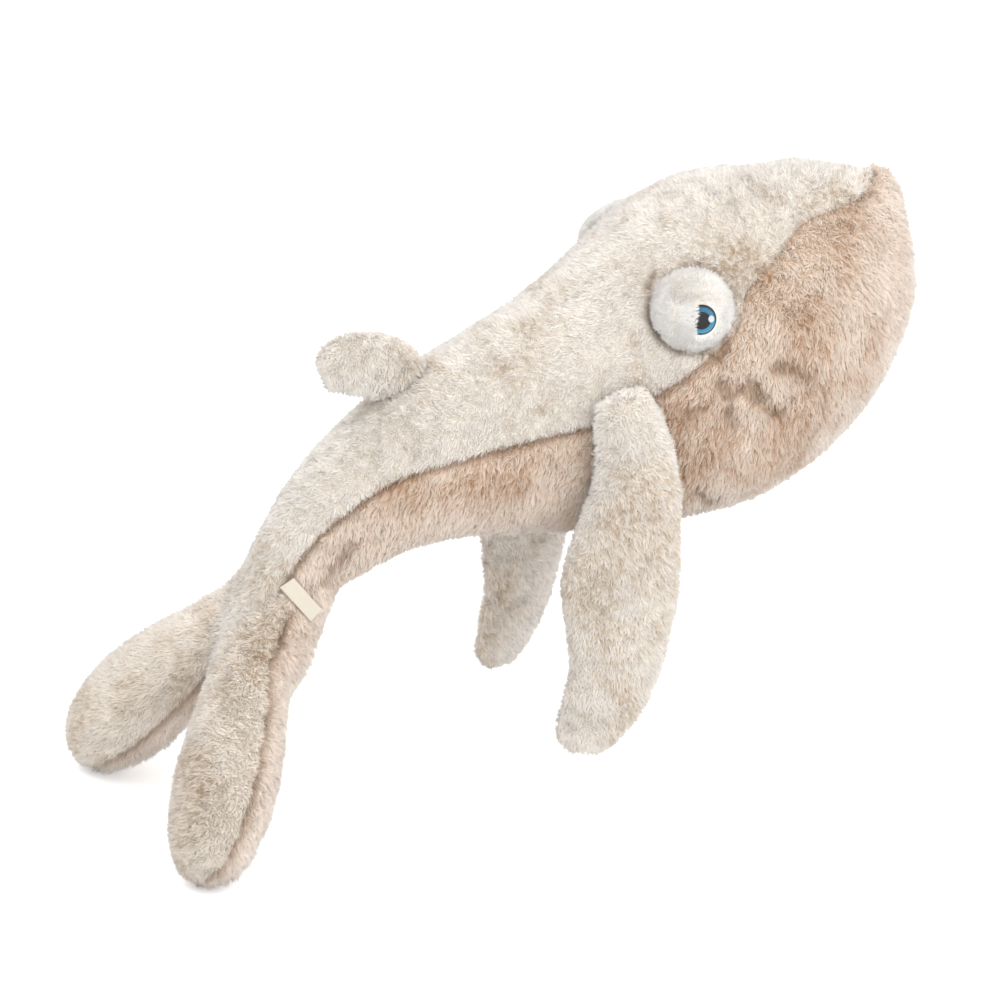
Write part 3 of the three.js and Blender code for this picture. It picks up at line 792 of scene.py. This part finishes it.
def planted(name, panel, finish, bend, **fur):
    """A panel's pile with its finish, held as its backing is."""
    held(dressed(grow(name, panel, **fur), finish), *bend)


def limb_half(name, panel, counts, inset, back, pile, fill, bend, **fur):
    """One half of a limb's skin: its backing and its pile, in place of the half's node."""
    sewn(f"{name}_panel", panel, counts, inset, back, fill, bend, f"{name}_fur")
    planted(f"{name}_pile", panel, pile, bend, **fur)


def bend_between(first, second, middle, way, before, beyond):
    """A bend from one body to another: it starts before the middle and ends beyond it along the way."""
    return first, second, middle - way * before, middle + way * beyond


SIDES = (("right", 1.0), ("left", -1.0))
TORSO_ALONE = ("torso",)
TAIL_BEND = bend_between("torso", "tail", bend_middle, -bend_along, 0.06, 0.075)
DORSAL_BEND = bend_between("torso", "dorsal_fin", dorsal_place, back_up, 0.012, 0.02)
FLUKE_BENDS, FIN_BENDS = {}, {}
for side, sign in SIDES:
    turned = np.array([1.0, sign, 1.0])
    FLUKE_BENDS[side] = bend_between("tail", f"{side}_fluke", fork, fluke_down, 0.055, 0.045)
    FIN_BENDS[side] = bend_between("torso", f"{side}_fin", fin_place * turned, fin_down * turned, 0.0, 0.06)


def tailwards(points):
    """The way back towards the tail along the midline, with some sag."""
    slope = np.interp(points[:, 0], body_rows[:, 0], np.gradient(body_rows[:, 2], body_rows[:, 0]))
    way = unit(np.column_stack([-np.ones(len(points)), np.zeros(len(points)), -np.clip(slope, 0.0, 2.5)]))
    return way + [0.0, 0.0, -0.4]


# %% [markdown]
# ## Eyes
# Each eye is a stuffed dome of white fur with an embroidered eye let into it, low and towards the nose.
# Places on the dome are easiest in its own frame: forwards, up and out.

# %% The domes' frames
EYE_RADIUS, EYE_HEIGHT, EYE_FUR = 0.047, 0.029, 0.0042
IRIS_AHEAD, IRIS_UP, IRIS_EDGE = -0.0025, -0.0135, 0.0196
EYE_STATION, EYE_ANGLE = 0.66, math.radians(34.5)
eye_place, eye_out, eye_ahead = seat(EYE_STATION, EYE_ANGLE)
EYE_AXES = np.array([eye_ahead, np.cross(eye_out, eye_ahead), eye_out])
EYE_RADII = np.array([EYE_RADIUS, EYE_RADIUS, EYE_HEIGHT])
iris_rise = EYE_HEIGHT * math.sqrt(1 - (IRIS_AHEAD ** 2 + IRIS_UP ** 2) / EYE_RADIUS ** 2)
iris_middle = np.array([IRIS_AHEAD, IRIS_UP, iris_rise])
iris_out = unit(iris_middle / EYE_RADII ** 2)
iris_ahead = unit(np.array([1.0, 0.0, 0.0]) - iris_out[0] * iris_out)
IRIS_AXES = np.array([iris_ahead, np.cross(iris_out, iris_ahead), iris_out])


def in_eye(points):
    """Places in the right eye's own frame. Places on the left are turned over to the right first."""
    return (on_the_right(points) - eye_place) @ EYE_AXES.T


def below_and_ahead(off):
    """How far each place off the eye's middle lies below it and ahead, from 0 to 1."""
    return clamp(unit(off * [1.0, 1.0, 0.0]) @ [0.6, -0.8, 0.0])


def dome(u, v):
    """The dome: a half ellipsoid over the head, from its top, u 0, to a little under its rim."""
    polar, turn = (0.015 + u * 0.62) * math.pi, v * 2 * math.pi
    flat = np.sin(polar)
    return eye_place + (np.column_stack([flat * np.cos(turn), flat * np.sin(turn), np.cos(polar)])
                        * EYE_RADII) @ EYE_AXES


UNDER = 0.004  # how deep in another form fur still grows


def off_the_eyes(points):
    """True where a place isn't under an eye's dome."""
    return np.sum((in_eye(points) / EYE_RADII) ** 2, axis=1) > 0.82


def off_the_flukes(points):
    """True where a place on the body isn't inside a fluke lobe."""
    return (lobe.depth(points) < UNDER) & (left_lobe.depth(points) < UNDER)


def skin_keep(points):
    return off_the_flukes(points) & off_the_eyes(points)


# %% [markdown]
# The tape label lies on the right flank's fur and presses it down. Its place is needed before the pile
# is grown, so that the fibres under it can be short.

# %% The label's place
LABEL_LENGTH, LABEL_WIDTH, LABEL_THICKNESS = 0.050, 0.018, 0.0012
label_top = TAIL_END + [0.05 * BODY_REACH, 0.0, 0.28 * BODY_RISE]
LABEL_DROOP = math.radians(53)
label_along = np.array([math.cos(LABEL_DROOP), 0.0, -math.sin(LABEL_DROOP)])
label_across = np.array([math.sin(LABEL_DROOP), 0.0, math.cos(LABEL_DROOP)])


def pressed(place, way, root, tip):
    """Fibres under the label keep 40 percent of their length, and those round an eye lean over its
    dome's rim, most of all below it and ahead."""
    from_eye = in_eye(place)
    share = lengths(from_eye / EYE_RADII)
    beside = unit(from_eye * [1.0, 1.0, 0.0]) @ EYE_AXES
    beside[:, 1] *= np.where(place[:, 1] > 0, -1.0, 1.0)
    below = below_and_ahead(from_eye)
    near = clamp(1 - np.abs(share - 1.08) / 0.12)[:, None]
    tip = tip + (way * 0.003 - beside * 0.004) * near * (1 + 1.3 * below)[:, None]
    off = place - label_top
    along, across = off @ label_along, off @ label_across
    beyond = np.maximum(np.maximum(-along, along - LABEL_LENGTH), np.abs(across) - LABEL_WIDTH / 2)
    under = (1 - clamp(beyond / 0.006)) * (place[:, 1] < 0)
    return root, root + (tip - root) * (1 - 0.6 * under)[:, None]


# %% [markdown]
# ## The body
# Two cream panels meet along the back, and the beige belly and jaw close the bag underneath.

# %% Sew the body's panels
cream = dict(length=0.0086, depth=0.0056, lean=0.45, clump=0.0048, pull=0.4, curl=1.9, tuft=0.45,
             comb=tailwards)
beige = dict(length=0.0115, depth=0.0068, lean=0.6, clump=0.0066, pull=0.5, curl=1.7, tuft=0.45,
             comb=tailwards)
FLUKE_FILLET, FIN_FILLET = 0.026, 0.016
BODY_FILL, FIN_FILL, DORSAL_FILL, EYE_FILL = 0.8, 0.6, 0.7, 0.9
AT_FLUKES = dict(joins=(lobe, left_lobe), reach=FLUKE_FILLET, groove=0.007, groove_width=0.0048)

for side, sign in SIDES:
    panel = Panel(back_panel, edges=(0.0,), left=sign < 0, **AT_FLUKES)
    sewn(f"{side}_back_panel", panel, (160, 50), cream["depth"], cream_back, BODY_FILL, TAIL_BEND,
         f"{side}_back_fur", f"{side}_tail_fur")
    for part, span, bend in (("flank", (0.0, 0.6), TAIL_BEND), ("head", (0.6, 1.0), TORSO_ALONE)):
        planted(f"{side}_{part}_pile", panel, cream_pile, bend, span=span, keep=skin_keep, shape=pressed,
                **cream)

belly = Panel(belly_panel, **AT_FLUKES)
sewn("belly_panel", belly, (110, 70), beige["depth"], beige_back, BODY_FILL, TAIL_BEND, "belly_fur",
     "tail_belly_fur")
for part, span in (("belly", (0.0, 0.6)), ("breast", (0.6, 1.0))):
    planted(f"{part}_pile", belly, beige_pile, TAIL_BEND, span=span, keep=skin_keep, shape=pressed, **beige)

jaw = Panel(jaw_panel)
sewn("jaw_panel", jaw, (90, 110), beige["depth"], beige_back, BODY_FILL, TORSO_ALONE, "jaw_fur")
for part, span in (("throat", (0.0, 0.18)), ("cheek", (0.18, 0.36)), ("nose", (0.36, 1.0))):
    planted(f"{part}_pile", jaw, beige_pile, TORSO_ALONE, span=span, keep=skin_keep, **beige)

# %% [markdown]
# ## Limbs
# Each limb is two panels sewn round its rim. The same few lines make flukes, pectoral fins and the
# dorsal fin: only the form, the fur and the bend change.

# %% Flukes
for side, sign in SIDES:
    comb = lobe_line * [1.0, sign, 1.0] + [0.0, 0.0, -0.2]

    def outside(points, sign=sign):
        """True outside the tail and on the lobe's own side of the whale's middle."""
        return (body.depth(points) < UNDER) & (points[:, 1] * sign < UNDER)

    for half, patch, back, pile, fur in (("top", lobe_top, cream_back, fluke_pile, cream),
                                         ("under", lobe_under, beige_back, beige_pile, beige)):
        panel = Panel(patch, left=sign < 0, joins=(body,), reach=FLUKE_FILLET)
        limb_half(f"{side}_fluke_{half}", panel, (70, 36), beige["depth"], back, pile, BODY_FILL,
                  FLUKE_BENDS[side], **dict(fur, keep=outside, shape=pressed, comb=comb))

# %% Pectoral fins
def off_the_body(points):
    """True where a place on a fin isn't inside the body."""
    return body.depth(points) < 0.006


fin_fur = dict(cream, length=0.0080, depth=0.0050, keep=off_the_body)
AT_BODY = dict(joins=(body,), reach=FIN_FILLET, groove=0.003, groove_width=0.004)
FIN_BACKING = 0.0055
for side, sign in SIDES:
    for half, patch in (("outer", fin_outer), ("inner", fin_inner)):
        panel = Panel(patch, left=sign < 0, **AT_BODY)
        limb_half(f"{side}_fin_{half}", panel, (80, 30), FIN_BACKING, cream_back, fin_pile, FIN_FILL,
                  FIN_BENDS[side], **dict(fin_fur, comb=fin_down * [1.0, sign, 1.0]))

# %% Dorsal fin
for side, sign in SIDES:
    panel = Panel(dorsal_half, left=sign < 0, **AT_BODY)
    limb_half(f"{side}_dorsal", panel, (40, 24), FIN_BACKING, cream_back, fin_pile, DORSAL_FILL, DORSAL_BEND,
              **dict(fin_fur, comb=-back_ahead))


# %% [markdown]
# ## Stuffing
# Inside each bag sits its wadding. It doesn't show, but it is a piece of the toy, held as the skin is.

# %% Wadding
def stuffing(name, form, inset, counts, left=False):
    """A form's wadding: the closed form set in along its normals, with a fan of triangles at each end."""
    u, v = grid(np.linspace(0.02, 0.98, counts[0]), np.linspace(0, 1, counts[1]))

    def patch(u, v):
        angle = (1 - v if left else v) * 2 * math.pi
        return form.at(u, angle) * ([1, -1, 1] if left else [1, 1, 1])

    place, way = faced(patch, u, v)
    skin = (place - way * inset).reshape(*counts, 3)[:, :-1]
    points = np.vstack([skin[:1].mean(1), skin.reshape(-1, 3), skin[-1:].mean(1)]).tolist()
    index = rings(counts[0], counts[1] - 1, first=1)
    fans = [[0, one, two] for one, two in zip(index[0].tolist(), index[0, 1:].tolist())]
    fans += [[one, len(points) - 1, two] for one, two in zip(index[-1].tolist(), index[-1, 1:].tolist())]
    mesh = bpy.data.meshes.new(name)
    mesh.from_pydata(points, [], quads(index).tolist() + fans)
    mesh.polygons.foreach_set("use_smooth", [True] * len(mesh.polygons))
    return dressed(placed(name, mesh), wadding, BODY_FILL)


BODY_INSET, FIN_INSET, DORSAL_INSET = 0.019, 0.012, 0.011
standing_for(stuffing("body_wadding", body, BODY_INSET, (48, 33)), TAIL_BEND, "body_stuffing",
             "tail_stuffing")
standing_for(stuffing("dorsal_wadding", dorsal, DORSAL_INSET, (16, 17)), DORSAL_BEND, "dorsal_stuffing")
for side, sign in SIDES:
    standing_for(stuffing(f"{side}_fluke_wadding", lobe, BODY_INSET, (28, 25), sign < 0), FLUKE_BENDS[side],
                 f"{side}_fluke_stuffing")
    standing_for(stuffing(f"{side}_fin_wadding", fin, FIN_INSET, (28, 21), sign < 0), FIN_BENDS[side],
                 f"{side}_fin_stuffing")


# %% [markdown]
# The eye is satin stitch: rows of shiny thread side by side. Each field is a low mound on the dome with
# the threads as real ridges, and the fields lie over each other as the machine sews them.

# %% Embroidered fields
HALF_THREAD = 0.00018


def on_dome(x, y, lift):
    """Places over the dome from places in the iris's own plane, pushed out from the dome's middle."""
    flat = iris_middle + np.outer(x, IRIS_AXES[0]) + np.outer(y, IRIS_AXES[1])
    on = flat / lengths(flat / EYE_RADII)[:, None]
    way = unit(on / EYE_RADII ** 2)
    return eye_place + (on + way * lift[:, None]) @ EYE_AXES


def field(name, radius, middle, lift, threads, radial, left):
    """A round field of stitches: rings of points raised by the lift and by the threads' ridges, and
    rounded down at the rim."""
    around, count = (360, 16) if radial else (140, 44)
    r, turn = grid(np.linspace(0.0, 1.0, count) ** 0.9, np.arange(around) / around * 2 * math.pi)
    x, y = middle[0] + radius * r * np.cos(turn), middle[1] + radius * r * np.sin(turn)
    across = turn * threads if radial else (x - middle[0]) / radius * math.pi * threads
    ridge = np.cos(across) * HALF_THREAD * clamp(r * 3)
    height = (lift + ridge) * (1 - r ** 10) - 0.004 * r ** 14
    points = on_dome(x, y, height)
    faces = quads(rings(count, around))
    if left:
        points, faces = other_side(points), faces[:, ::-1]
    return mesh_object(name, points, faces, stitch=np.cos(across), rise=y / IRIS_EDGE)


def thread_finish(name, low, high, shade):
    """Satin thread's material and slot: from low to high up the eye, with painted shade between the threads.
    """
    material, tree, shader = new_material(name, 0.42, 0.4, 0.1)
    climb = tree.mix("MIX", tree.spread(tree.attribute("rise"), -1.0, 1.0, 0.0, 1.0), linear(low),
                     linear(high))
    # Painted shade in the grooves between the threads
    between = tree.spread(tree.attribute("stitch"), -1.0, 0.4, 1.0, 0.0)
    tree.put(shader.inputs["Base Color"], tree.mix("MULTIPLY", between, climb, (shade, shade, shade, 1.0)))
    return material, name.replace(" ", "_")


# Name, radius, middle, lift, number of threads, whether they run outwards, and finish
FIELDS = (
    ("eye_outline", IRIS_EDGE, (0.0, 0.0), -0.0016, 96, True,
     thread_finish("navy thread", "#20384f", "#16283a", 0.6)),
    ("iris", 0.0174, (0.0, 0.0), -0.0011, 88, True,
     thread_finish("teal thread", "#4794b0", "#2a6480", 0.7)),
    ("pupil", 0.0114, (-0.0004, 0.0004), -0.0004, 14, False,
     thread_finish("black thread", "#17191c", "#121315", 0.6)),
    ("eye_highlight", 0.0044, (0.0097, -0.0032), 0.0002, 6, False,
     thread_finish("grey thread", "#cfd2d6", "#c3c7cd", 0.8)),
)
LID = np.array([-0.86, 0.51])


def on_the_iris(points):
    """Places in the iris's own plane as x and y, and how far each lies towards the lid side."""
    flat = ((in_eye(points) - iris_middle) @ IRIS_AXES.T)[:, :2]
    return flat, flat @ LID


def eye_pile(place, way, root, tip):
    """The dome's pile: parted from the embroidery's rim, combed over it on the lid side, and longer and
    more tousled towards the dome's own rim."""
    flat, lid = on_the_iris(place)
    off = lengths(flat)
    turned = np.where(place[:, 1:2] > 0, [[1.0, -1.0, 1.0]], [[1.0, 1.0, 1.0]])
    axes = [axis @ EYE_AXES * turned for axis in IRIS_AXES[:2]]
    rim = clamp(1 - (off - IRIS_EDGE) / 0.006) * (lid < 0.008) * 0.003
    apart = axes[0] * (flat[:, 0] / off * rim)[:, None] + axes[1] * (flat[:, 1] / off * rim)[:, None]
    beside = np.abs(flat @ [LID[1], -LID[0]])
    over = clamp((lid - 0.004) / 0.004) * clamp((0.034 - lid) / 0.012)
    over = (over * clamp((0.024 - beside) / 0.008))[:, None]
    comb = -(axes[0] * LID[0] + axes[1] * LID[1])
    height = in_eye(place)[:, 2] / EYE_HEIGHT
    low = clamp((0.45 - height) / 0.3)[:, None]
    tip = tip + (tip - root) * 0.2 * low + wander3(place, 0.005, 91) * 0.003 * low
    return root, tip + apart + (comb * 0.0065 + way * 0.0024) * over


def off_the_iris(points):
    """True where the dome's pile grows: not on the embroidery, save over its edge on the lid side."""
    flat, lid = on_the_iris(points)
    return (lengths(flat) > IRIS_EDGE + 0.0003) | (lid > 0.0105)


def on_the_lid(points):
    """True in the band of the dome whose long tufts hang over the embroidery."""
    flat, lid = on_the_iris(points)
    return (lid > 0.0100) & (lid < 0.025) & (np.abs(flat @ [LID[1], -LID[0]]) < 0.023)


def rim_sink(place):
    """How far the dome's skin is drawn in at its rim: up to 5 mm, most of all below and ahead."""
    off = in_eye(place)
    low = clamp((0.5 - off[:, 2] / EYE_HEIGHT) / 0.35)
    return 0.005 * low * (0.25 + 0.75 * below_and_ahead(off))


white = dict(depth=EYE_FUR, comb=np.zeros(3), lean=0.35, thickness=0.0006, shape=eye_pile)
dome_fur = dict(white, length=0.0066, clump=0.005, pull=0.2, tuft=0.15, spacing=SPACING * 0.75)
lid_fur = dict(white, length=0.0088, clump=0.0034, pull=0.5, tuft=0.4, spacing=SPACING * 0.5)
for side, sign in SIDES:
    panel = Panel(dome, edges=(), left=sign < 0)
    # The rim's dip also gives the white pile painted shade round the dome's rim
    panel.relief = rim_sink
    sewn(f"{side}_eye_dome", panel, (40, 72), EYE_FUR, white_back, EYE_FILL, TORSO_ALONE, f"{side}_eye_fur",
         f"{side}_eye_stuffing")
    for part, keep, fur in (("eye", off_the_iris, dome_fur), ("lid", on_the_lid, lid_fur)):
        planted(f"{side}_{part}_pile", panel, white_pile, TORSO_ALONE, keep=keep, **fur)
    for name, *cut, finish in FIELDS:
        piece = field(f"{side}_{name}_stitches", *cut, sign < 0)
        standing_for(dressed(piece, finish), TORSO_ALONE, f"{side}_{name}")

# %% [markdown]
# ## The label
# A bare woven tape, sewn into the side seam by its short edge. It lies over the beige fur and lifts
# towards its free end.

# %% Label
def flank(points, lift):
    """Places on the right flank over points in the whale's middle plane, raised by the lift."""
    middle, _, _, up, wide, high = body.section(np.linspace(0.1, 0.4, 400))
    best = nearest(points, middle)
    share = np.sum((points - middle[best]) * up[best], axis=1) / high[best]
    out = wide[best] * np.sqrt(clamp(1 - share ** 2)) + lift
    return points - np.outer(out, SIDEWAYS)


WEFT_PITCH, WARP_PITCH = 0.0011, 0.0008
a, b = grid(np.linspace(0, 1, 40), np.linspace(-0.5, 0.5, 16))
flat = label_top + np.outer(a * LABEL_LENGTH, label_along) + np.outer(b * LABEL_WIDTH, label_across)
lift = 0.0040 + 0.0050 * a ** 2 + 0.0008 * np.sin(a * 5.0 + b * 2.0) + 0.002 * a * b
label = mesh_object("tape_label", flank(flat, lift), quads(np.arange(40 * 16).reshape(40, 16)),
                    along=a * LABEL_LENGTH, across=b * LABEL_WIDTH)
thick = label.modifiers.new("thickness", "SOLIDIFY")
thick.thickness, thick.offset = LABEL_THICKNESS, 0.0
tape, tree, shader = new_material("woven tape", 0.7, 0.3, 0.2)
weft, warp = [tree.work_out("SINE", tree.times(tree.attribute(way), 2 * math.pi / pitch))
              for way, pitch in (("along", WEFT_PITCH), ("across", WARP_PITCH))]
weave = tree.times(weft, warp)
tree.put(shader.inputs["Base Color"], tree.mix("MIX", tree.spread(weave, -0.6, 0.6, 0.0, 1.0),
                                               linear("#c6beac"), linear("#dfd8c8")))
bump = tree.nodes.new("ShaderNodeBump")
bump.inputs["Strength"].default_value, bump.inputs["Distance"].default_value = 0.5, 0.0003
tree.put(bump.inputs["Height"], weave)
tree.put(shader.inputs["Normal"], bump.outputs[0])
standing_for(dressed(label, (tape, "woven_tape")), ("label",), "label")

# %% [markdown]
# ## Floor, light and camera
# A pale floor and soft light from all round, as in a light tent. The camera is a long lens far away, at
# the height and side that the toy is seen from.

# %% Stage
world = bpy.data.worlds.new("room")
bpy.context.scene.world = world
world.use_nodes = True
plain_sky = world.node_tree.nodes["Background"]
plain_sky.inputs["Color"].default_value = (1.0, 1.0, 1.0, 1.0)
plain_sky.inputs["Strength"].default_value = 1.0

FAR, FLOOR_GLOW = 40, 0.35
floor_mesh = bpy.data.meshes.new("floor")
floor_mesh.from_pydata([(-FAR, -FAR, 0), (FAR, -FAR, 0), (FAR, FAR, 0), (-FAR, FAR, 0)], [], [(0, 1, 2, 3)])
floor = placed("floor", floor_mesh)
pale, tree, shader = new_material("pale floor", 0.9, 0.1)
shader.inputs["Base Color"].default_value = (0.95, 0.95, 0.95, 1.0)
light_path = tree.nodes.new("ShaderNodeLightPath")
glow = tree.times(light_path.outputs["Is Camera Ray"], FLOOR_GLOW)
shader.inputs["Emission Color"].default_value = (1.0, 1.0, 1.0, 1.0)
tree.put(shader.inputs["Emission Strength"], glow)
floor_mesh.materials.append(pale)

# Name, place, size in metres and power in watts
LAMPS = (("key", (0.7, -2.7, 2.3), 2.6, 58.0), ("rim", (2.2, 1.2, 1.2), 2.2, 26.0),
         ("back", (-1.6, 0.6, 2.8), 2.4, 38.0))
LIT_PLACE = Vector((0, 0, 0.35))
for name, place, size, power in LAMPS:
    lamp = bpy.data.lights.new(name, "AREA")
    lamp.size, lamp.energy = size, power
    holder = placed(name, lamp)
    holder.location = place
    holder.rotation_euler = (LIT_PLACE - Vector(place)).to_track_quat("-Z", "Y").to_euler()

# %% Camera
AZIMUTH, ELEVATION, DISTANCE = math.radians(-22), math.radians(24), 20.0
SENSOR_WIDTH, PICTURE_WIDTH, TARGET = 36, 1.1, Vector((-0.02087, 0.0, 0.32266))
back = Vector((math.sin(AZIMUTH) * math.cos(ELEVATION), -math.cos(AZIMUTH) * math.cos(ELEVATION),
               math.sin(ELEVATION)))
lens = bpy.data.cameras.new("camera")
lens.sensor_width = SENSOR_WIDTH
lens.lens = SENSOR_WIDTH * DISTANCE / PICTURE_WIDTH
lens.clip_end = 200
camera = placed("camera", lens)
camera.location = TARGET + back * DISTANCE
camera.rotation_mode = "QUATERNION"
camera.rotation_quaternion = (-back).to_track_quat("-Z", "Y")
bpy.context.scene.camera = camera
bpy.context.scene.view_settings.view_transform = "Standard"
